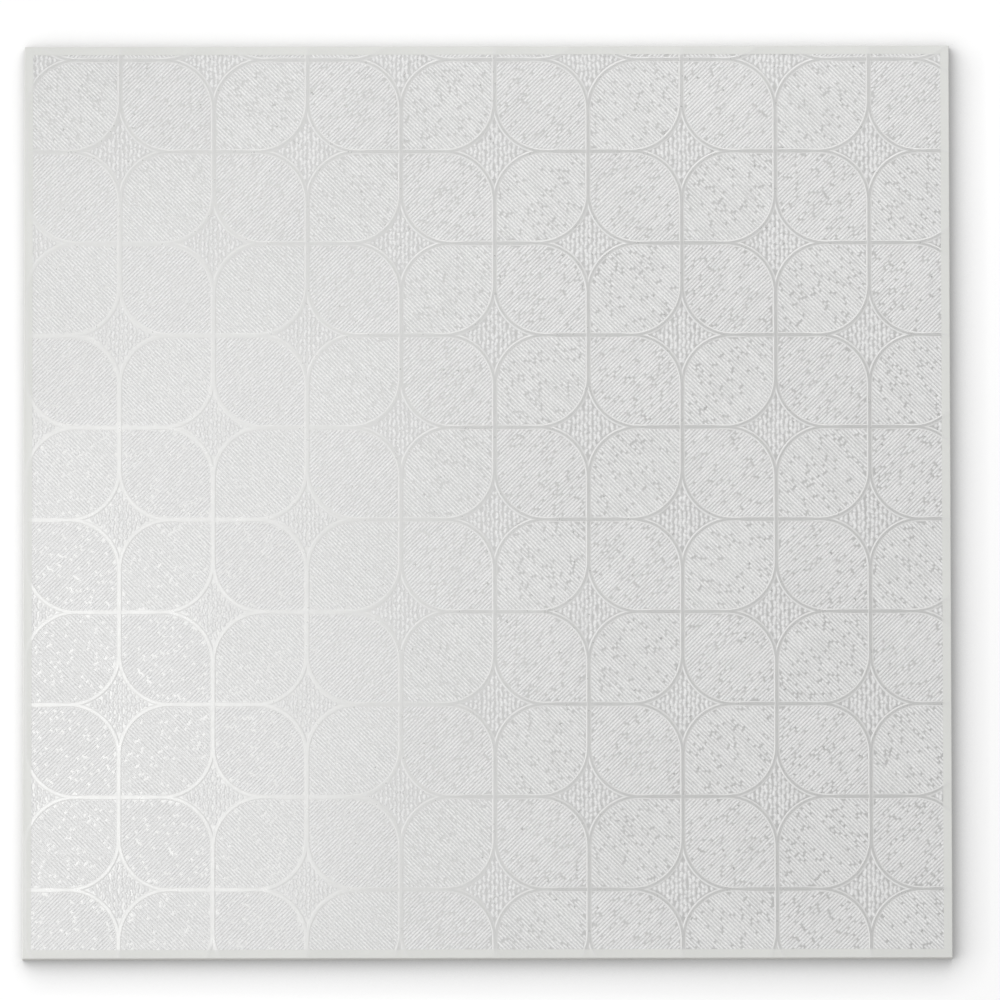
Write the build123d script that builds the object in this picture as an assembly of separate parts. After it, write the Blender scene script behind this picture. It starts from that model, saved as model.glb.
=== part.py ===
from build123d import *
import os

# A square ceiling tile that lies flat with its patterned face up.
# The origin is the centre of the back, +Z is up, and all lengths are in millimetres.

# Board
tile_side = 595.0        # drops into a 600 mm ceiling grid
tile_thickness = 7.5     # back to the top of the raised lands
edge_radius = 0.5        # easing of the face's four edges
plain_rim = 5.5          # unpatterned strip along the face's edges

# Lattice on the face: raised lands and stars round sunken fields
pattern_pitch = 60.2     # from one lattice line to the next
star_x = 4.9             # centre of the star nearest the tile's centre
star_y = -12.3
arc_radius = 31.7        # round field corners beside the stars
upright_land = 2.0       # flat width of the lines along Y
cross_land = 1.6         # flat width of the lines along X
flank_run = 0.9          # width of the sloping flanks beside the lands
relief_depth = 0.25      # height of the lands and stars above the fields

floor_level = tile_thickness - relief_depth
pattern_side = tile_side - 2 * plain_rim
half_pitch = pattern_pitch / 2


def field_outline(inset):
    """Outline of a field, inset from its lands: two opposite corners are round, two are square."""
    width = pattern_pitch - upright_land - 2 * inset
    depth = pattern_pitch - cross_land - 2 * inset
    corners = Rectangle(width, depth).vertices().sort_by(lambda corner: corner.X + corner.Y)
    return fillet([corners[0], corners[-1]], arc_radius - inset)


def lattice_steps(start):
    """Whole steps of the pitch, counted from a start, whose fields together cover the patterned face."""
    first = (-pattern_side / 2 - start) // pattern_pitch
    last = (pattern_side / 2 - start) // pattern_pitch
    return range(int(first), int(last) + 1)


# A sunken field is a shallow pocket with sloping flanks
foot = Pos(Z=floor_level) * field_outline(flank_run)
mouth = Pos(Z=tile_thickness) * field_outline(0)
rising_field = loft([foot, mouth], ruled=True)
falling_field = mirror(rising_field, about=Plane.YZ)

# Round corners meet at every other crossing of the lattice lines and leave a four-pointed star between them
fields = []
for column in lattice_steps(star_x):
    for row in lattice_steps(star_y):
        field = rising_field if (column + row) % 2 == 0 else falling_field
        centre_x = star_x + column * pattern_pitch + half_pitch
        centre_y = star_y + row * pattern_pitch + half_pitch
        fields.append(Pos(centre_x, centre_y) * field)

# The board is one cut sheet: the pattern runs across it and stops at the plain rim
board = Box(tile_side, tile_side, tile_thickness, align=(Align.CENTER, Align.CENTER, Align.MIN))
board = fillet(board.edges().group_by(Axis.Z)[-1], edge_radius)
patterned_zone = extrude(Rectangle(pattern_side, pattern_side), 2 * tile_thickness)
ceiling_tile = board - [field & patterned_zone for field in fields]

os.makedirs("parts", exist_ok=True)
export_step(ceiling_tile, "parts/ceiling_tile.step")
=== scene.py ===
import math
import random

import bpy
from bpy.props import FloatProperty, FloatVectorProperty, IntProperty, PointerProperty
from mathutils import Matrix, Vector


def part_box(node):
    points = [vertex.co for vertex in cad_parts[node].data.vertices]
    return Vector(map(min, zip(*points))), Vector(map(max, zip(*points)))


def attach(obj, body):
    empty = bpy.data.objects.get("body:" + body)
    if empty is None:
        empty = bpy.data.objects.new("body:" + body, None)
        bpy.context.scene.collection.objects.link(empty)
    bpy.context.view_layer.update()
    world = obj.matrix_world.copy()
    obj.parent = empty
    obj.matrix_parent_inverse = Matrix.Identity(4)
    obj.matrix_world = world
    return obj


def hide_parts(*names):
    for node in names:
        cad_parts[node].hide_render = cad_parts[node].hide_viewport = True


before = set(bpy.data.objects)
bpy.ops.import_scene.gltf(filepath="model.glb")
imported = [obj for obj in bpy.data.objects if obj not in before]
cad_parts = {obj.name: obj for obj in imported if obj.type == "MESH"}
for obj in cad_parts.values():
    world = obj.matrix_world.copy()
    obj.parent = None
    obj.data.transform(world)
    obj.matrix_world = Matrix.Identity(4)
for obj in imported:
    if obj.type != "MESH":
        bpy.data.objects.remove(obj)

bl_info = {
    "name": "Embossed Ceiling Tile",
    "version": (1, 0, 0),
    "blender": (4, 5, 0),
    "location": "3D View > Sidebar > Ceiling Tile",
    "description": "Models the embossed face of a square ceiling tile and sets up its stage",
    "category": "Add Mesh",
}

MM = 0.001
ROOT_2 = math.sqrt(2)
TINY = 1e-6                      # points closer than this are one point
TILE = "ceiling_tile"
BODY = "root"
LOW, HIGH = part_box(TILE)
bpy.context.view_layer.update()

# Board
EDGE_SEGMENTS = 4                # straight steps in the eased edges
ROUND = 0.5                      # bevel profile of a circle's arc
SIDE_NORMAL = 0.2                # faces whose normals rise less than this are the sides and the back
FLANK_NORMAL = 0.985             # of the others, those that rise less than this are flanks
BOARD_CREASE = math.radians(8)   # edges sharper than this stay sharp

# Cutters, as shares of the lattice's own sizes
CUTTER_RISE = 1 / 5              # how far a cutter's slope goes on above the face
RIM_FLANK = 1 / 3                # width of the flanks in the rim
RIM_INSET = 1 / 18               # how far the fields in the rim are set in from the lands
SADDLE_FLANK = 0.7               # width of a saddle's flank beside the upright
SADDLE_FLOOR = 0.7               # where a saddle's level floor ends on the way to the star
SADDLE_COVER = 0.9               # part of the cross line's flanks that a saddle takes in

# Ridges, as shares of their width or height
CREST = 0.1                      # half width of the level crest
SUNK = 0.1                       # depth of the foot below the floor

# Hatch: lengths, ranges of lengths in millimetres, and shares of the ridge's size
HIP = 0.45 * MM                  # run over which the end of a ridge comes to full size
KNOT = 6.0 * MM                  # usual run between two changes of size
SHORTEST_RIDGE = 4 * HIP
SPOT_GAP = 3                     # least distance between two spots on a line, in spots
HATCH_SWAY = (-0.05, 0.05)
HATCH_END = 0.3
HATCH_SIZES = (0.85, 1.1)
HATCH_CREASE = math.radians(12)

# Grain in the stars, given in the same way
GRAIN_SEED = 5
GRAIN_STEP = 1.1 * MM            # usual run between two points of a ridge
GRAIN_POINTS = 3                 # fewest steps in a ridge
GRAIN_REST = 1.5 * MM            # run that may be left bare at the upper end of a line
GRAIN_STARTS = (0.0, 1.0)
GRAIN_RUNS = (2.5, 7.0)
GRAIN_OVERLAPS = (0.0, 0.5)
GRAIN_SWAY = (-0.3, 0.3)
GRAIN_WAVES = (4.0, 8.0)
GRAIN_END = 0.35
GRAIN_SIZES = (0.8, 1.1)
GRAIN_CREASE = math.radians(30)

# Mottling: scale of a noise per metre, its detail, and the range of values that it gives
FILM_CLOUDS = (9.0, 4.0, 0.985, 1.015)
FILM_STREAKS = (420.0, 3.0, 0.99, 1.01)
BOARD_CLOUDS = (14.0, 5.0, 0.95, 1.03)
BOARD_PORES = (700.0, 4.0, 0.94, 1.04)
BOARD_ROUGHNESS = (300.0, 2.0, 0.75, 0.92)
FLOOR_CLOUDS = (3.0, 2.0, 0.995, 1.0)
NOISE_RANGE = (0.3, 0.7)         # a noise's middle range, which is mapped to those values

# Noises with their scale per metre and their detail, and what they do
FILM_GLOSS = (160.0, 3.0)
LAND_UNEVEN = 0.03               # change of roughness either way
RIDGE_UNEVEN = 0.04
LAND_PEBBLE = (1600.0, 3.0)
LAND_BUMP = (0.2, 0.03 * MM)     # strength and height
RIDGE_BEADS = (1000.0, 1.0)
# Painted light and shade of the beads: their colour is lighter where the beads' bump rises and darker where
# it dips
PAINTED_BEAD_SHADES = (0.91, 1.09)
BEAD_BUMP = (1.0, 0.2 * MM)
BOARD_FIBRES = (1100.0, 5.0)
FIBRE_BUMP = (0.5, 0.1 * MM)

# Film
RIM_LANDS = 0.6                  # how much of the rim's dull film the lands show where they cross the rim
SPOT_DEPTH = 0.95                # share of the lattice's depth below which the face is a spot
MIX_A, MIX_B, MIX_RESULT = 6, 7, 2   # a mix node's sockets for colours

# Stage
FLOOR_SIDE = 80.0                # the floor goes past the picture in every view
FLOOR_DROP = 0.05 * MM           # keeps the floor clear of the tile's back
PAINTED_SHADE_LEAN = (-0.35, 0.42, 0.84)     # the painted contact shadow on the floor falls away from this direction
PAINTED_SHADE_SAMPLES = 8
PAINTED_SHADE_DARKEST = 0.12             # brightness that the painted shadow leaves where the tile hides the whole sky
DIM_PATCH = (0.98, 0.88)         # cosines of the angles between which the sky's dim patch fades
SENSOR = 36.0
FARTHEST = 200.0                 # end of the camera's sight

# Soft lamps: name, centre, point they face, sides, radiance along their axis, and full angle of their beam
LAMPS = (
    ("left_lamp", (-0.34, 0.07, 1.0), (-0.34, -0.115, 0.0), (0.52, 0.67), 1.35, math.radians(60)),
    ("near_lamp", (-0.335, -0.04, 0.99), (-0.335, -0.225, 0.0), (0.43, 0.45), 0.8, math.radians(60)),
    ("back_lamp", (0.18, 0.68, 0.62), (0.18, 0.27, 0.0), (0.9, 0.35), 1.3, math.radians(80)),
)


def length_property(name, description, value):
    """A length, given in millimetres."""
    return FloatProperty(
        name=name, description=description, default=value * MM, min=0.0, unit="LENGTH", precision=5)


def angle_property(name, description, value):
    """An angle, given in degrees."""
    return FloatProperty(name=name, description=description, default=math.radians(value), subtype="ANGLE")


def share_property(name, description, value):
    """A share between 0 and 1."""
    return FloatProperty(
        name=name, description=description, default=value, min=0.0, max=1.0, subtype="FACTOR")


def strength_property(name, description, value):
    """A strength of light."""
    return FloatProperty(name=name, description=description, default=value, min=0.0)


def colour_property(name, description, value):
    """A colour."""
    return FloatVectorProperty(
        name=name, description=description, default=value, size=3, min=0.0, max=1.0, subtype="COLOR")


class TileLattice(bpy.types.PropertyGroup):
    """Sizes of the raised lattice"""
    pitch: length_property("Pitch", "From one lattice line to the next", 60.2)
    star: FloatVectorProperty(
        name="Star", description="Centre of the star nearest the tile's centre", size=2,
        default=(4.9 * MM, -12.3 * MM), unit="LENGTH", precision=5)
    arc_radius: length_property("Arc radius", "Round field corners beside the stars", 31.7)
    arc_land: length_property("Arc land", "Flat width of the arcs between fields and stars", 1.6)
    upright_land: length_property("Upright land", "Flat width of the lines along Y", 2.0)
    cross_land: length_property("Cross land", "Flat width of the lines along X", 1.6)
    flank: length_property("Flank", "Width of the sloping flanks beside the lands", 0.9)
    depth: length_property("Depth", "Height of the lands above the fields", 0.25)
    saddle: length_property("Saddle", "Drop of the cross lines beside the uprights", 0.1)
    rim: length_property("Rim", "Strip along the face's edges without the fine relief", 5.5)
    rim_depth: length_property("Rim depth", "Height of the lands above the flattened fields in the rim", 0.04)
    edge: length_property("Edge", "Easing of the face's four edges", 0.5)
    arc_steps: IntProperty(
        name="Arc steps", description="Straight steps in each round corner", default=18, min=4)


class TileRelief(bpy.types.PropertyGroup):
    """Sizes of the fine relief in the fields and stars"""
    lines: IntProperty(
        name="Hatch lines", description="Hatch lines across a field's diagonal", default=45, min=3)
    ridge_width: length_property("Ridge width", "Width of a hatch ridge at its foot", 1.89)
    ridge_height: length_property("Ridge height", "Height of a hatch ridge above the field", 0.21)
    spot: length_property("Spot", "Length of a smooth spot that breaks a ridge", 1.2)
    spot_spacing: length_property("Spot spacing", "Mean run of ridge between two spots", 19.0)
    grain_spacing: length_property("Grain spacing", "From one ridge of a star's grain to the next", 2.75)
    grain_width: length_property("Grain width", "Width of a grain ridge at its foot", 2.8)
    grain_height: length_property("Grain height", "Height of a grain ridge above the star's floor", 0.17)
    grain_wave: length_property("Grain wave", "Sideways sway of a grain ridge", 0.45)


class TileFinish(bpy.types.PropertyGroup):
    """Colours and gloss of the tile"""
    land: colour_property("Land", "Colour of the lands, flanks and spots", (0.765, 0.765, 0.755))
    ridge: colour_property("Ridge", "Colour of the hatch and the grain", (0.84, 0.84, 0.835))
    # Painted shade: the ridges' colour darkens towards their foot, standing in for the shade in the grooves
    # between them
    foot: share_property("Ridge foot", "Shade of a ridge's foot against its crest", 0.76)
    rim: colour_property("Rim", "Colour of the strip along the edges", (0.735, 0.74, 0.715))
    board: colour_property("Board", "Colour of the sides and the back", (0.58, 0.575, 0.55))
    pearl: share_property("Pearl", "Share of pearl in the lands", 0.4)
    flank_pearl: share_property("Flank pearl", "Share of pearl in the flanks beside the lands", 0.12)
    spot_pearl: share_property("Spot pearl", "Share of pearl in the spots", 0.48)
    land_roughness: share_property("Land roughness", "Roughness of the lands, flanks and spots", 0.3)
    ridge_roughness: share_property("Ridge roughness", "Roughness of the ridges", 0.45)
    rim_roughness: share_property("Rim roughness", "Roughness of the strip along the edges", 0.6)


class TileStage(bpy.types.PropertyGroup):
    """Camera, lamps and floor"""
    azimuth: angle_property("Azimuth", "Turn of the camera round the tile", 1.1668)
    elevation: angle_property("Elevation", "Height of the camera above the horizon", 79.4882)
    roll: angle_property("Roll", "Turn of the camera about its own axis", -1.2384)
    distance: FloatProperty(
        name="Distance", description="From the aim point to the camera", default=15.8455, unit="LENGTH")
    aim: FloatVectorProperty(
        name="Aim", description="Point in the middle of the picture", size=3,
        default=(0.0083, 0.0017, 0.0), unit="LENGTH")
    lens: FloatProperty(name="Lens", description="Focal length in millimetres", default=888.456)
    ambient: strength_property("Ambient", "Strength of the light from all round", 0.97)
    ambient_top: strength_property("Ambient top", "Strength of the dim patch that level faces mirror", 0.2)
    ambient_left: share_property("Ambient left", "Gain of the light from the left", 0.5)
    ambient_back: share_property("Ambient back", "Gain of the light from the back", 0.1)
    light: strength_property("Light", "Brightness of all lamps together", 1.0)
    floor: colour_property("Floor", "Colour of the floor", (0.94, 0.94, 0.94))
    floor_lift: share_property("Floor lift", "White that the camera adds to the floor", 0.13)
    # Painted shadow: reach of the shade painted into the floor's colour beside the tile
    painted_contact_shade: length_property("Contact", "Reach of the shade on the floor beside the tile", 25.0)


def lattice_sizes():
    """The scene's lattice sizes."""
    return bpy.context.scene.tile_lattice


def relief_sizes():
    """The scene's relief sizes."""
    return bpy.context.scene.tile_relief


def activate(obj):
    """Makes an object the only selected one."""
    bpy.ops.object.select_all(action="DESELECT")
    obj.select_set(True)
    bpy.context.view_layer.objects.active = obj
    return obj


def place(obj, location):
    """Moves an object and puts its place, turn and scale into its mesh."""
    activate(obj)
    obj.location = location
    bpy.ops.object.transform_apply(location=True, rotation=True, scale=True)
    return obj


def edit(obj):
    """Opens an object's mesh for editing with all of it selected."""
    activate(obj)
    bpy.ops.object.mode_set(mode="EDIT")
    bpy.ops.mesh.select_mode(type="VERT")
    bpy.ops.mesh.select_all(action="SELECT")


def pick(obj, wanted):
    """Opens an object's mesh for editing with only the vertices selected that pass a test."""
    edit(obj)
    bpy.ops.mesh.select_all(action="DESELECT")
    bpy.ops.object.mode_set(mode="OBJECT")
    for vertex in obj.data.vertices:
        vertex.select = wanted(vertex.co)
    bpy.ops.object.mode_set(mode="EDIT")


def leave():
    """Closes the mesh for editing."""
    bpy.ops.object.mode_set(mode="OBJECT")


def join(objects, name):
    """Joins objects into one."""
    activate(objects[0])
    for obj in objects[1:]:
        obj.select_set(True)
    bpy.ops.object.join()
    objects[0].name = name
    objects[0].data.name = name
    return objects[0]


def modify(obj, kind, **settings):
    """Adds a modifier to an object, sets it and applies it."""
    activate(obj)
    bpy.ops.object.modifier_add(type=kind)
    modifier = obj.modifiers[-1]
    for key, value in settings.items():
        setattr(modifier, key, value)
    bpy.ops.object.modifier_apply(modifier=modifier.name)
    return obj


def close(obj):
    """Merges points that lie on one another, fills open ends and turns all faces outward."""
    edit(obj)
    bpy.ops.mesh.remove_doubles(threshold=TINY)
    bpy.ops.mesh.select_all(action="SELECT")
    bpy.ops.mesh.fill_holes(sides=0)
    bpy.ops.mesh.select_all(action="SELECT")
    bpy.ops.mesh.normals_make_consistent(inside=False)
    leave()
    return obj


def mirrored(obj):
    """A copy of an object, mirrored left to right."""
    activate(obj)
    bpy.ops.object.duplicate()
    copy = bpy.context.object
    copy.scale = (-1, 1, 1)
    place(copy, (0, 0, 0))
    return close(copy)


def cut(obj, cutter):
    """Takes a cutter's closed shapes out of an object and removes the cutter."""
    modify(obj, "BOOLEAN", operation="DIFFERENCE", solver="EXACT", object=cutter)
    bpy.data.objects.remove(cutter)
    return obj


def trim(obj, rim):
    """Cuts what lies in a rim along the face's edges off closed shapes, and fills the cuts."""
    reach = HIGH.x - rim
    edit(obj)
    for normal in ((1, 0, 0), (-1, 0, 0), (0, 1, 0), (0, -1, 0)):
        bpy.ops.mesh.select_all(action="SELECT")
        bpy.ops.mesh.bisect(
            plane_co=[reach * part for part in normal], plane_no=normal,
            use_fill=True, clear_outer=True, threshold=TINY)
    leave()
    return obj


def repeat(obj, across, along, rim, name):
    """Copies a motif, modelled about the origin, all over the lattice, and trims the copies to a rim.

    Across and along count the motif's steps from a star. One set of copies lies at every other step both
    ways, and a second set lies one step over and one step up from it.
    """
    lattice = lattice_sizes()
    pitch = lattice.pitch
    half_count = math.ceil(HIGH.x / (2 * pitch))
    start = -2 * half_count
    place(obj, (lattice.star[0] + (start + across) * pitch, lattice.star[1] + (start + along) * pitch, 0))
    for offset in ((2 * pitch, 0, 0), (0, 2 * pitch, 0)):
        modify(
            obj, "ARRAY", count=2 * half_count, use_relative_offset=False,
            use_constant_offset=True, constant_offset_displace=offset)
    activate(obj)
    bpy.ops.object.duplicate()
    second = place(bpy.context.object, (pitch, pitch, 0))
    return trim(join([obj, second], name), rim)


def smooth(obj, crease):
    """Shades an object smooth but for edges sharper than an angle."""
    activate(obj)
    bpy.ops.object.shade_smooth_by_angle(angle=crease)
    return obj


def finish_piece(obj, *materials):
    """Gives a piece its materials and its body."""
    for material in materials:
        obj.data.materials.append(material)
    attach(obj, BODY)
    return obj


def field_face(inset, level):
    """Flat face of a field whose lower left and upper right corners are round."""
    lattice = lattice_sizes()
    width = lattice.pitch - lattice.upright_land - 2 * inset
    height = lattice.pitch - lattice.cross_land - 2 * inset
    bpy.ops.mesh.primitive_plane_add(size=1)
    face = bpy.context.object
    face.scale = (width, height, 1)
    place(face, (0, 0, level))
    pick(face, lambda point: point.x * point.y > 0)
    bpy.ops.mesh.bevel(
        offset=lattice.arc_radius - inset, offset_type="OFFSET", affect="VERTICES",
        segments=lattice.arc_steps, profile=ROUND, clamp_overlap=False)
    leave()
    return face


def arc_centre():
    """Centre of the arc beside a star's upper right side."""
    lattice = lattice_sizes()
    return lattice.upright_land / 2 + lattice.arc_radius, lattice.cross_land / 2 + lattice.arc_radius


def star_radius(inset):
    """Radius of a star's hollow sides, inset from its arcs."""
    lattice = lattice_sizes()
    return lattice.arc_radius + lattice.arc_land + inset


def star_tips(inset):
    """A star's half sizes along X and Y."""
    centre_x, centre_y = arc_centre()
    radius = star_radius(inset)
    tip_x = centre_x - math.sqrt(radius ** 2 - centre_y ** 2)
    tip_y = centre_y - math.sqrt(radius ** 2 - centre_x ** 2)
    return tip_x, tip_y


def star_face(inset, level):
    """Flat face of a star with four hollow sides."""
    lattice = lattice_sizes()
    centre_x, centre_y = arc_centre()
    tip_x, tip_y = star_tips(inset)
    turn = math.atan2(-centre_y, tip_x - centre_x) - math.atan2(tip_y - centre_y, -centre_x)
    bpy.ops.mesh.primitive_plane_add(size=lattice.flank)
    face = place(bpy.context.object, (tip_x, 0, level))
    edit(face)
    bpy.ops.mesh.merge(type="CENTER")
    bpy.ops.mesh.select_all(action="SELECT")
    bpy.ops.mesh.spin(
        steps=lattice.arc_steps, angle=turn, center=(centre_x, centre_y, level), axis=(0, 0, 1))
    leave()
    modify(face, "MIRROR", use_axis=(True, True, False), merge_threshold=TINY)
    edit(face)
    bpy.ops.mesh.edge_face_add()
    leave()
    return face


def pocket(outline, depth, flank, inset):
    """Closed cutter for a shallow pocket with sloping flanks; its slope goes on a little above the face."""
    mouth = outline(inset - CUTTER_RISE * flank, HIGH.z + CUTTER_RISE * depth)
    foot = outline(inset + flank, HIGH.z - depth)
    cutter = join([mouth, foot], "pocket")
    edit(cutter)
    bpy.ops.mesh.bridge_edge_loops()
    leave()
    return close(cutter)


def pockets(depth, flank, inset, rim):
    """Closed cutters for all fields and stars inside a rim."""
    rising = pocket(field_face, depth, flank, inset)
    falling = mirrored(rising)
    cutters = [
        repeat(rising, 0.5, 0.5, rim, "rising_fields"),
        repeat(falling, 1.5, 0.5, rim, "falling_fields"),
        repeat(pocket(star_face, depth, flank, inset), 0, 0, rim, "stars"),
    ]
    return join(cutters, "pockets")


def saddle_cutter():
    """Closed cutter that lowers a cross line on both sides of an upright, and runs out towards the stars."""
    lattice = lattice_sizes()
    slope = SADDLE_FLANK * lattice.flank / lattice.depth
    above = CUTTER_RISE * lattice.depth
    near_top = lattice.upright_land / 2 - above * slope
    near_foot = lattice.upright_land / 2 + lattice.saddle * slope
    far_top = lattice.pitch - lattice.upright_land / 2 - lattice.arc_radius
    far_foot = SADDLE_FLOOR * far_top
    half_width = lattice.cross_land / 2 + SADDLE_COVER * lattice.flank
    middle = (far_top + near_top) / 2
    bpy.ops.mesh.primitive_cube_add(size=1)
    cutter = bpy.context.object
    cutter.scale = (far_top - near_top, 2 * half_width, above + lattice.saddle)
    place(cutter, (middle, 0, HIGH.z + (above - lattice.saddle) / 2))
    pick(cutter, lambda point: point.z < HIGH.z and point.x < middle)
    bpy.ops.transform.translate(value=(near_foot - near_top, 0, 0))
    leave()
    pick(cutter, lambda point: point.z < HIGH.z and point.x > middle)
    bpy.ops.transform.translate(value=(far_foot - far_top, 0, 0))
    leave()
    activate(cutter)
    bpy.ops.object.duplicate()
    other = bpy.context.object
    other.rotation_euler = (0, 0, math.pi)
    place(other, (0, 0, 0))
    return close(join([cutter, other], "saddles"))


def ridge_section(width, height):
    """Section of a ridge: a low hump whose foot is sunk a little below the floor."""
    bpy.ops.curve.primitive_bezier_circle_add(radius=width)
    section = bpy.context.object
    section.data.dimensions = "2D"
    section.data.splines.clear()
    outline = section.data.splines.new("POLY")
    sunk = SUNK * height
    crest = CREST * width
    corners = ((-width / 2, -sunk), (-crest, height), (crest, height), (width / 2, -sunk))
    outline.points.add(len(corners) - 1)
    for point, corner in zip(outline.points, corners):
        point.co = (corner[0], corner[1], 0, 1)
    outline.use_cyclic_u = True
    return section


def ridges(paths, section, level, name):
    """Ridges swept along paths of points (x, y, share of the section's size)."""
    bpy.ops.curve.primitive_bezier_curve_add()
    drawn = bpy.context.object
    drawn.name = name
    drawn.data.splines.clear()
    drawn.data.dimensions = "3D"
    drawn.data.twist_mode = "Z_UP"
    drawn.data.bevel_mode = "OBJECT"
    drawn.data.bevel_object = section
    drawn.data.use_fill_caps = True
    for path in paths:
        line = drawn.data.splines.new("POLY")
        line.points.add(len(path) - 1)
        for point, (x, y, size) in zip(line.points, path):
            point.co = (x, y, level, 1)
            point.radius = size
    place(drawn, (0, 0, 0))
    bpy.ops.object.convert(target="MESH")
    bpy.data.objects.remove(section)
    return close(bpy.context.object)


def draw(dice, span):
    """Draws a length from a range in millimetres."""
    return dice.uniform(*span) * MM


def steps(half_width):
    """Lattice steps, counted from the star nearest the tile's centre, at which a motif can touch the face."""
    count = math.ceil((HIGH.x + half_width) / lattice_sizes().pitch)
    return [(column, row) for column in range(-count, count + 1) for row in range(-count, count + 1)]


def field_chord(offset):
    """Start and end, along a field's diagonal, of the hatch line at an offset from that diagonal."""
    lattice = lattice_sizes()
    half_x = (lattice.pitch - lattice.upright_land) / 2 - lattice.flank
    half_y = (lattice.pitch - lattice.cross_land) / 2 - lattice.flank
    radius = lattice.arc_radius - lattice.flank

    def end(side):
        """Distance from the field's middle to one end of the line, which may lie on a round corner."""
        reach = min(half_x * ROOT_2 + side * offset, half_y * ROOT_2 - side * offset)
        x = (reach - side * offset) / ROOT_2
        y = (reach + side * offset) / ROOT_2
        if x > half_x - radius and y > half_y - radius:
            middle = (half_x + half_y - 2 * radius) / ROOT_2
            aside = side * offset - (half_y - half_x) / ROOT_2
            reach = middle + math.sqrt(max(radius ** 2 - aside ** 2, 0))
        return reach

    return -end(-1), end(1)


def spot_places(start, stop, dice):
    """Middles of the smooth spots along a hatch line."""
    relief = relief_sizes()
    places = []
    spot = start + dice.expovariate(1 / relief.spot_spacing)
    while spot < stop:
        places.append(spot)
        spot += SPOT_GAP * relief.spot + dice.expovariate(1 / relief.spot_spacing)
    return places


def ridge_stations(first, last, dice):
    """Places along a hatch ridge, each with the ridge's size there."""
    inner = last - first - 2 * HIP
    parts = max(1, round(inner / KNOT))
    stations = [(first, HATCH_END)]
    for part in range(parts + 1):
        stations.append((first + HIP + inner * part / parts, dice.uniform(*HATCH_SIZES)))
    stations.append((last, HATCH_END))
    return stations


def field_paths(dice):
    """Hatch ridges of one field about its centre, rising to the right and broken by smooth spots."""
    lattice, relief = lattice_sizes(), relief_sizes()
    spacing = lattice.pitch * ROOT_2 / relief.lines
    overlap = lattice.flank / 2
    paths = []
    for number in range(relief.lines):
        offset = (number - (relief.lines - 1) / 2) * spacing
        start, stop = field_chord(offset)
        spots = spot_places(start, stop, dice)
        starts = [start - overlap] + [spot + relief.spot / 2 for spot in spots]
        stops = [spot - relief.spot / 2 for spot in spots] + [stop + overlap]
        for first, last in zip(starts, stops):
            if last - first < SHORTEST_RIDGE:
                continue
            path = []
            for along, size in ridge_stations(first, last, dice):
                aside = offset + draw(dice, HATCH_SWAY)
                path.append(((along - aside) / ROOT_2, (along + aside) / ROOT_2, size))
            paths.append(path)
    return paths


def hatch_paths(lean, upper, seed):
    """Hatch ridges of the upper or lower fields that rise to the right (lean 1) or fall (lean -1)."""
    lattice = lattice_sizes()
    dice = random.Random(seed)
    paths = []
    for column, row in steps(lattice.pitch / 2):
        centre_x = lattice.star[0] + (column + 0.5) * lattice.pitch
        centre_y = lattice.star[1] + (row + 0.5) * lattice.pitch
        reach = max(abs(centre_x), abs(centre_y)) - lattice.pitch / 2
        rising = (column + row) % 2 == 0
        if reach > HIGH.x - lattice.rim or rising != (lean > 0) or upper != (row >= 0):
            continue
        for path in field_paths(dice):
            paths.append([(centre_x + lean * x, centre_y + y, size) for x, y, size in path])
    return paths


def grain_path(line_x, start, run, dice):
    """One wavy upright ridge of a star's grain."""
    points = max(GRAIN_POINTS, round(run / GRAIN_STEP))
    middle_x = line_x + draw(dice, GRAIN_SWAY)
    wave = draw(dice, GRAIN_WAVES)
    phase = dice.uniform(0, 2 * math.pi)
    path = []
    for index in range(points + 1):
        y = start + run * index / points
        sway = relief_sizes().grain_wave * math.sin(2 * math.pi * y / wave + phase)
        size = GRAIN_END if index in (0, points) else dice.uniform(*GRAIN_SIZES)
        path.append((middle_x + sway, y, size))
    return path


def star_paths(dice):
    """Wavy upright ridges of one star about its centre, broken into short lengths."""
    lattice, relief = lattice_sizes(), relief_sizes()
    centre_x, centre_y = arc_centre()
    radius = star_radius(lattice.flank)
    tip_x = star_tips(lattice.flank)[0]
    count = int(2 * tip_x / relief.grain_spacing)
    paths = []
    for number in range(count):
        line_x = (number - (count - 1) / 2) * relief.grain_spacing
        across = centre_x - abs(line_x)
        top = centre_y - math.sqrt(radius ** 2 - across ** 2)
        along = -top + draw(dice, GRAIN_STARTS)
        while along < top - GRAIN_REST:
            run = min(draw(dice, GRAIN_RUNS), top - along)
            paths.append(grain_path(line_x, along, run, dice))
            along += run - draw(dice, GRAIN_OVERLAPS)
    return paths


def grain_paths(seed):
    """Wavy upright ridges of all stars."""
    lattice = lattice_sizes()
    dice = random.Random(seed)
    tip_x, tip_y = star_tips(lattice.flank)
    paths = []
    for column, row in steps(tip_x):
        star_x = lattice.star[0] + column * lattice.pitch
        star_y = lattice.star[1] + row * lattice.pitch
        reach = max(abs(star_x) - tip_x, abs(star_y) - tip_y)
        if reach > HIGH.x - lattice.rim or (column + row) % 2:
            continue
        for path in star_paths(dice):
            paths.append([(star_x + x, star_y + y, size) for x, y, size in path])
    return paths


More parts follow.
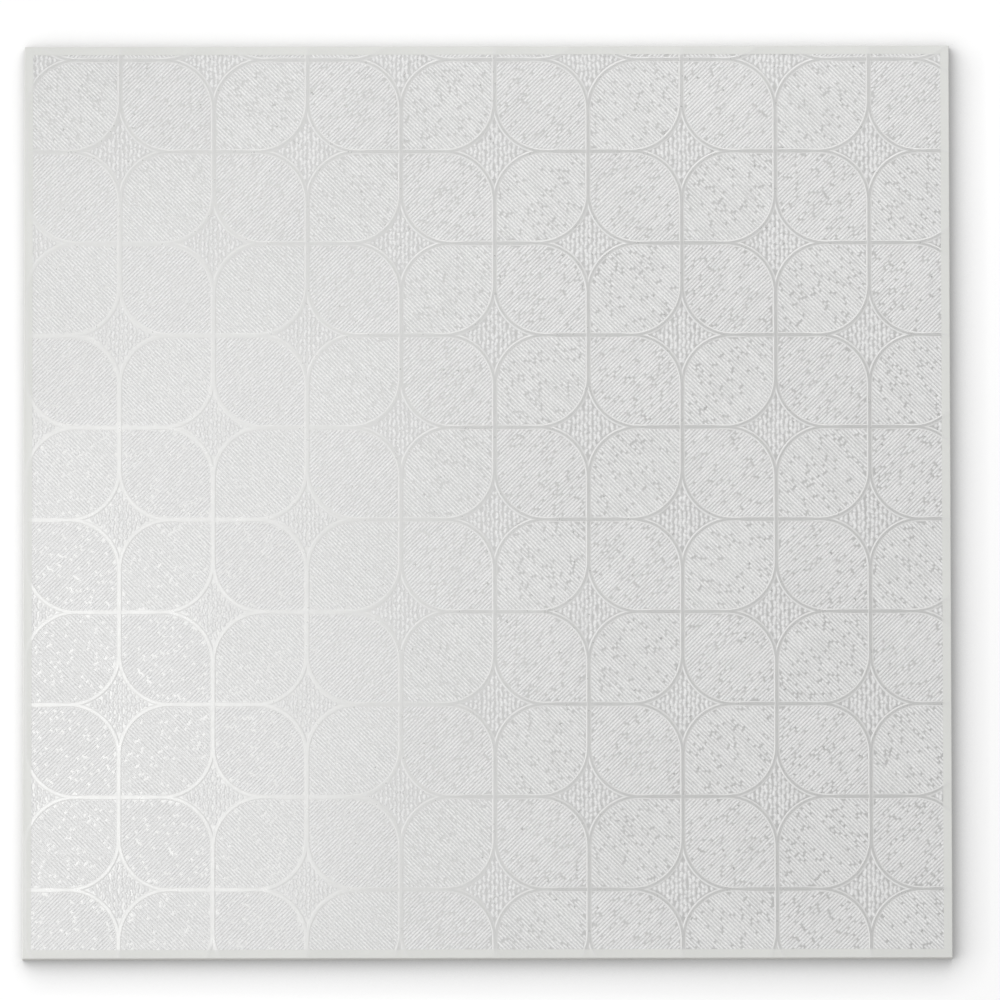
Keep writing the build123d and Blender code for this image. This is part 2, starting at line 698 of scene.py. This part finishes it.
class Nodes:
    """Adds and links the nodes of a material or world."""

    def __init__(self, tree):
        self.tree = tree
        tree.nodes.clear()

    def add(self, kind, settings=None, **inputs):
        """Adds a node, sets it up, and sets or links its inputs by name."""
        made = self.tree.nodes.new(kind)
        for key, value in (settings or {}).items():
            setattr(made, key, value)
        for key, value in inputs.items():
            self.feed(made.inputs[key.replace("_", " ")], value)
        return made

    def feed(self, socket, value):
        """Links an output to a socket, or sets the socket to a value."""
        if isinstance(value, bpy.types.NodeSocket):
            self.tree.links.new(value, socket)
        else:
            socket.default_value = value

    def math(self, operation, *values):
        """Adds a math node and gives its result."""
        made = self.tree.nodes.new("ShaderNodeMath")
        made.operation = operation
        for socket, value in zip(made.inputs, values):
            self.feed(socket, value)
        return made.outputs[0]

    def noise(self, place, scale, detail):
        """Adds a noise and gives its grey value."""
        made = self.add("ShaderNodeTexNoise", Vector=place, Scale=scale, Detail=detail)
        return made.outputs["Fac"]

    def spread(self, value, low, high):
        """Maps a noise's middle range to a range of values."""
        made = self.add(
            "ShaderNodeMapRange", Value=value, From_Min=NOISE_RANGE[0], From_Max=NOISE_RANGE[1],
            To_Min=low, To_Max=high)
        return made.outputs["Result"]

    def mottle(self, place, scale, detail, low, high):
        """Adds a noise that gives a range of values."""
        return self.spread(self.noise(place, scale, detail), low, high)

    def tint(self, colour, value):
        """Multiplies a colour by a value."""
        made = self.tree.nodes.new("ShaderNodeVectorMath")
        made.operation = "SCALE"
        made.inputs[0].default_value = colour
        self.feed(made.inputs["Scale"], value)
        return made.outputs[0]

    def bump(self, height, strength, distance):
        """Adds a bump and gives its normal."""
        made = self.add("ShaderNodeBump", Strength=strength, Distance=distance, Height=height)
        return made.outputs["Normal"]


def start_material(name):
    """A new material, its nodes, and the place on the object that they read."""
    made = bpy.data.materials.new(name)
    made.use_nodes = True
    nodes = Nodes(made.node_tree)
    return made, nodes, nodes.add("ShaderNodeTexCoord").outputs["Object"]


def film_shade(nodes, place):
    """Faint clouds and streaks of the embossed film."""
    return nodes.math("MULTIPLY", nodes.mottle(place, *FILM_CLOUDS), nodes.mottle(place, *FILM_STREAKS))


def land_material(name, pearl_share):
    """Film of the lands, flanks and spots: pearl that mirrors softly, and is duller along the rim."""
    finish = bpy.context.scene.tile_finish
    lattice = lattice_sizes()
    made, nodes, place = start_material(name)
    parts = nodes.add("ShaderNodeSeparateXYZ", Vector=place)
    shade = film_shade(nodes, place)
    farther = nodes.math(
        "MAXIMUM", nodes.math("ABSOLUTE", parts.outputs["X"]), nodes.math("ABSOLUTE", parts.outputs["Y"]))
    outside = nodes.math("GREATER_THAN", farther, HIGH.x - lattice.rim)
    flattened = nodes.math("LESS_THAN", parts.outputs["Z"], HIGH.z - lattice.rim_depth / 2)
    rim = nodes.math("MULTIPLY", outside, nodes.math("MULTIPLY_ADD", flattened, 1 - RIM_LANDS, RIM_LANDS))
    spot = nodes.math("LESS_THAN", parts.outputs["Z"], HIGH.z - SPOT_DEPTH * lattice.depth)
    colour = nodes.add("ShaderNodeMix", {"data_type": "RGBA"}, Factor=rim)
    nodes.feed(colour.inputs[MIX_A], nodes.tint(tuple(finish.land), shade))
    nodes.feed(colour.inputs[MIX_B], nodes.tint(tuple(finish.rim), shade))
    gloss = nodes.mottle(
        place, *FILM_GLOSS, finish.land_roughness - LAND_UNEVEN, finish.land_roughness + LAND_UNEVEN)
    rough = nodes.add("ShaderNodeMix", {"data_type": "FLOAT"}, Factor=rim, A=gloss, B=finish.rim_roughness)
    inner_pearl = nodes.math("MULTIPLY_ADD", spot, finish.spot_pearl - pearl_share, pearl_share)
    pearl = nodes.math("MULTIPLY", nodes.math("SUBTRACT", 1.0, rim), inner_pearl)
    normal = nodes.bump(nodes.noise(place, *LAND_PEBBLE), *LAND_BUMP)
    shader = nodes.add(
        "ShaderNodeBsdfPrincipled", Base_Color=colour.outputs[MIX_RESULT], Metallic=pearl,
        Roughness=rough.outputs["Result"], Normal=normal)
    nodes.add("ShaderNodeOutputMaterial", Surface=shader.outputs[0])
    return made


def ridge_material(name, height):
    """White film of the ridges: rougher than the lands, beaded, with painted shade darker from the crest to
    the foot.
    """
    finish = bpy.context.scene.tile_finish
    made, nodes, place = start_material(name)
    parts = nodes.add("ShaderNodeSeparateXYZ", Vector=place)
    floor = HIGH.z - lattice_sizes().depth
    # Painted shade: the colour darkens from the crest down to the foot, where the grooves between the ridges
    # lie in shade
    rise = nodes.add(
        "ShaderNodeMapRange", Value=parts.outputs["Z"], From_Min=floor, From_Max=floor + height,
        To_Min=finish.foot, To_Max=1.0)
    beads = nodes.noise(place, *RIDGE_BEADS)
    shade = nodes.math("MULTIPLY", film_shade(nodes, place), rise.outputs["Result"])
    # Painted light and shade: the noise that bumps the beads also makes their colour lighter on the rises and
    # darker in the dips
    shade = nodes.math("MULTIPLY", shade, nodes.spread(beads, *PAINTED_BEAD_SHADES))
    rough = nodes.mottle(
        place, *FILM_GLOSS, finish.ridge_roughness - RIDGE_UNEVEN, finish.ridge_roughness + RIDGE_UNEVEN)
    shader = nodes.add(
        "ShaderNodeBsdfPrincipled", Base_Color=nodes.tint(tuple(finish.ridge), shade), Roughness=rough,
        Normal=nodes.bump(beads, *BEAD_BUMP))
    nodes.add("ShaderNodeOutputMaterial", Surface=shader.outputs[0])
    return made


def board_material():
    """Dull gypsum board: cloudy, with pores and paper fibres."""
    finish = bpy.context.scene.tile_finish
    made, nodes, place = start_material("gypsum_board")
    shade = nodes.math("MULTIPLY", nodes.mottle(place, *BOARD_CLOUDS), nodes.mottle(place, *BOARD_PORES))
    shader = nodes.add(
        "ShaderNodeBsdfPrincipled", Base_Color=nodes.tint(tuple(finish.board), shade),
        Roughness=nodes.mottle(place, *BOARD_ROUGHNESS),
        Normal=nodes.bump(nodes.noise(place, *BOARD_FIBRES), *FIBRE_BUMP))
    nodes.add("ShaderNodeOutputMaterial", Surface=shader.outputs[0])
    return made


class TILE_OT_board(bpy.types.Operator):
    """Models the board with the raised lattice on its face"""
    bl_idname = "tile.board"
    bl_label = "Board"

    def execute(self, context):
        lattice = context.scene.tile_lattice
        finish = context.scene.tile_finish
        bpy.ops.mesh.primitive_cube_add(size=1)
        board = context.object
        board.name = "tile_board"
        board.scale = HIGH - LOW
        place(board, (HIGH + LOW) / 2)
        pick(board, lambda point: point.z > HIGH.z - TINY)
        bpy.ops.mesh.bevel(
            offset=lattice.edge, offset_type="OFFSET", affect="EDGES", segments=EDGE_SEGMENTS, profile=ROUND)
        leave()
        flank = lattice.flank
        cut(board, pockets(lattice.rim_depth, RIM_FLANK * flank, RIM_INSET * flank, lattice.edge))
        cut(board, pockets(lattice.depth, flank, 0, lattice.rim))
        cut(board, repeat(saddle_cutter(), 1, 0, lattice.rim, "saddles"))
        finish_piece(
            board, land_material("pearl_film", finish.pearl), land_material("flank_film", finish.flank_pearl),
            board_material())
        for face in board.data.polygons:
            if face.normal.z < SIDE_NORMAL:
                face.material_index = 2
            elif face.normal.z < FLANK_NORMAL:
                face.material_index = 1
        smooth(board, BOARD_CREASE)
        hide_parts(TILE)
        return {"FINISHED"}


class TILE_OT_hatch(bpy.types.Operator):
    """Models the diagonal hatch in the fields"""
    bl_idname = "tile.hatch"
    bl_label = "Hatch"

    def execute(self, context):
        lattice, relief = lattice_sizes(), relief_sizes()
        film = ridge_material("hatch_film", relief.ridge_height)
        pieces = (
            ("hatch_rising_upper", 1, True, 3),
            ("hatch_rising_lower", 1, False, 4),
            ("hatch_falling_upper", -1, True, 8),
            ("hatch_falling_lower", -1, False, 9),
        )
        for name, lean, upper, seed in pieces:
            section = ridge_section(relief.ridge_width, relief.ridge_height)
            drawn = ridges(hatch_paths(lean, upper, seed), section, HIGH.z - lattice.depth, name)
            hatch = trim(drawn, lattice.rim)
            finish_piece(hatch, film)
            smooth(hatch, HATCH_CREASE)
        return {"FINISHED"}


class TILE_OT_grain(bpy.types.Operator):
    """Models the wavy grain in the stars"""
    bl_idname = "tile.grain"
    bl_label = "Star Grain"

    def execute(self, context):
        lattice, relief = lattice_sizes(), relief_sizes()
        section = ridge_section(relief.grain_width, relief.grain_height)
        drawn = ridges(grain_paths(GRAIN_SEED), section, HIGH.z - lattice.depth, "star_grain")
        grain = trim(drawn, lattice.rim)
        finish_piece(grain, ridge_material("star_grain", relief.grain_height))
        smooth(grain, GRAIN_CREASE)
        return {"FINISHED"}


class TILE_OT_stage(bpy.types.Operator):
    """Sets up the floor, the lamps, the world and the camera"""
    bl_idname = "tile.stage"
    bl_label = "Stage"

    def floor(self, stage):
        """White floor that keeps the tile's shadow, with a further shadow painted into its colour beside the
        tile.
        """
        bpy.ops.mesh.primitive_plane_add(size=FLOOR_SIDE, location=(0, 0, -FLOOR_DROP))
        floor = bpy.context.object
        floor.name = "floor"
        made, nodes, place = start_material("white_floor")
        lean = nodes.add("ShaderNodeCombineXYZ", **dict(zip("XYZ", PAINTED_SHADE_LEAN)))
        # Painted shadow: ambient occlusion, leaned towards the upper left, darkens the floor's colour beside
        # the tile, most on the right and at the bottom
        painted_contact_shade = nodes.add(
            "ShaderNodeAmbientOcclusion", {"samples": PAINTED_SHADE_SAMPLES}, Distance=stage.painted_contact_shade,
            Normal=lean.outputs[0])
        painted_shade_factor = nodes.math("MULTIPLY_ADD", painted_contact_shade.outputs["AO"], 1 - PAINTED_SHADE_DARKEST, PAINTED_SHADE_DARKEST)
        shade = nodes.math("MULTIPLY", nodes.mottle(place, *FLOOR_CLOUDS), painted_shade_factor)
        matt = nodes.add("ShaderNodeBsdfDiffuse", Color=nodes.tint(tuple(stage.floor), shade))
        path = nodes.add("ShaderNodeLightPath")
        seen = nodes.math("MAXIMUM", path.outputs["Is Camera Ray"], path.outputs["Is Glossy Ray"])
        seen = nodes.math("MAXIMUM", seen, path.outputs["Is Transmission Ray"])
        glow = nodes.add("ShaderNodeEmission", Strength=nodes.math("MULTIPLY", seen, stage.floor_lift))
        both = nodes.add("ShaderNodeAddShader")
        nodes.feed(both.inputs[0], matt.outputs[0])
        nodes.feed(both.inputs[1], glow.outputs[0])
        nodes.add("ShaderNodeOutputMaterial", Surface=both.outputs[0])
        floor.data.materials.append(made)

    def world(self, scene, stage):
        """Light from all round: dim where level faces mirror it to the camera, and stronger from the left."""
        scene.world = bpy.data.worlds.new("surround")
        scene.world.use_nodes = True
        nodes = Nodes(scene.world.node_tree)
        toward = nodes.add("ShaderNodeTexCoord").outputs["Generated"]
        way = nodes.add("ShaderNodeSeparateXYZ", Vector=toward)
        mirrored_eye = self.eye(stage) * Vector((-1, -1, 1))
        near = nodes.add("ShaderNodeVectorMath", {"operation": "DOT_PRODUCT"})
        nodes.feed(near.inputs[0], toward)
        nodes.feed(near.inputs[1], mirrored_eye)
        ring = nodes.add(
            "ShaderNodeMapRange", {"interpolation_type": "SMOOTHSTEP"}, Value=near.outputs["Value"],
            From_Min=DIM_PATCH[0], From_Max=DIM_PATCH[1], To_Min=stage.ambient_top, To_Max=stage.ambient)
        left = nodes.math("MULTIPLY_ADD", way.outputs["X"], -stage.ambient_left, 1.0)
        side = nodes.math("MULTIPLY_ADD", way.outputs["Y"], stage.ambient_back, left)
        strength = nodes.math("MULTIPLY", ring.outputs["Result"], side)
        light = nodes.add("ShaderNodeBackground", Color=(1, 1, 1, 1), Strength=strength)
        nodes.add("ShaderNodeOutputWorld", Surface=light.outputs[0])

    def lamp(self, name, location, target, size, radiance, beam):
        """Rectangular soft lamp that faces a point; a narrow beam is brighter along its axis."""
        bpy.ops.object.light_add(type="AREA", location=location)
        lamp = bpy.context.object
        lamp.name = name
        lamp.rotation_euler = (Vector(target) - Vector(location)).to_track_quat("-Z", "Y").to_euler()
        lamp.data.shape = "RECTANGLE"
        lamp.data.size = size[0]
        lamp.data.size_y = size[1]
        lamp.data.spread = beam
        gain = math.tan(beam / 2) / (math.tan(beam / 2) - beam / 2)
        lamp.data.energy = math.pi * size[0] * size[1] * radiance / gain

    def eye(self, stage):
        """Direction from the tile to the camera."""
        turn, height = stage.azimuth, stage.elevation
        level = math.cos(height)
        return Vector((math.sin(turn) * level, -math.cos(turn) * level, math.sin(height)))

    def camera(self, scene, stage):
        """Camera that looks almost straight down."""
        back = self.eye(stage)
        right = Vector((math.cos(stage.azimuth), math.sin(stage.azimuth), 0))
        up = back.cross(right)
        rolled_right = math.cos(stage.roll) * right + math.sin(stage.roll) * up
        rolled_up = math.cos(stage.roll) * up - math.sin(stage.roll) * right
        bpy.ops.object.camera_add()
        camera = bpy.context.object
        camera.data.sensor_width = SENSOR
        camera.data.lens = stage.lens
        camera.data.clip_end = FARTHEST
        pose = Matrix((rolled_right, rolled_up, back)).transposed().to_4x4()
        pose.translation = Vector(stage.aim) + stage.distance * back
        camera.matrix_world = pose
        scene.camera = camera

    def execute(self, context):
        scene = context.scene
        stage = scene.tile_stage
        scene.view_settings.view_transform = "Standard"
        self.floor(stage)
        self.world(scene, stage)
        for name, location, target, size, radiance, beam in LAMPS:
            self.lamp(name, location, target, size, stage.light * radiance, beam)
        self.camera(scene, stage)
        return {"FINISHED"}


class TILE_PT_panel(bpy.types.Panel):
    """Lists the tile's pieces and sizes"""
    bl_idname = "TILE_PT_panel"
    bl_label = "Ceiling Tile"
    bl_space_type = "VIEW_3D"
    bl_region_type = "UI"
    bl_category = "Ceiling Tile"

    def draw(self, context):
        for operator in (TILE_OT_board, TILE_OT_hatch, TILE_OT_grain, TILE_OT_stage):
            self.layout.operator(operator.bl_idname)
        for name in GROUPS:
            box = self.layout.box()
            group = getattr(context.scene, name)
            for key in group.__annotations__:
                box.prop(group, key)


GROUPS = {
    "tile_lattice": TileLattice,
    "tile_relief": TileRelief,
    "tile_finish": TileFinish,
    "tile_stage": TileStage,
}
CLASSES = (*GROUPS.values(), TILE_OT_board, TILE_OT_hatch, TILE_OT_grain, TILE_OT_stage, TILE_PT_panel)


def register():
    for cls in CLASSES:
        bpy.utils.register_class(cls)
    for name, group in GROUPS.items():
        setattr(bpy.types.Scene, name, PointerProperty(type=group))


def unregister():
    for name in GROUPS:
        delattr(bpy.types.Scene, name)
    for cls in reversed(CLASSES):
        bpy.utils.unregister_class(cls)


def main():
    register()
    bpy.ops.tile.board()
    bpy.ops.tile.hatch()
    bpy.ops.tile.grain()
    bpy.ops.tile.stage()


if __name__ == "__main__":
    main()
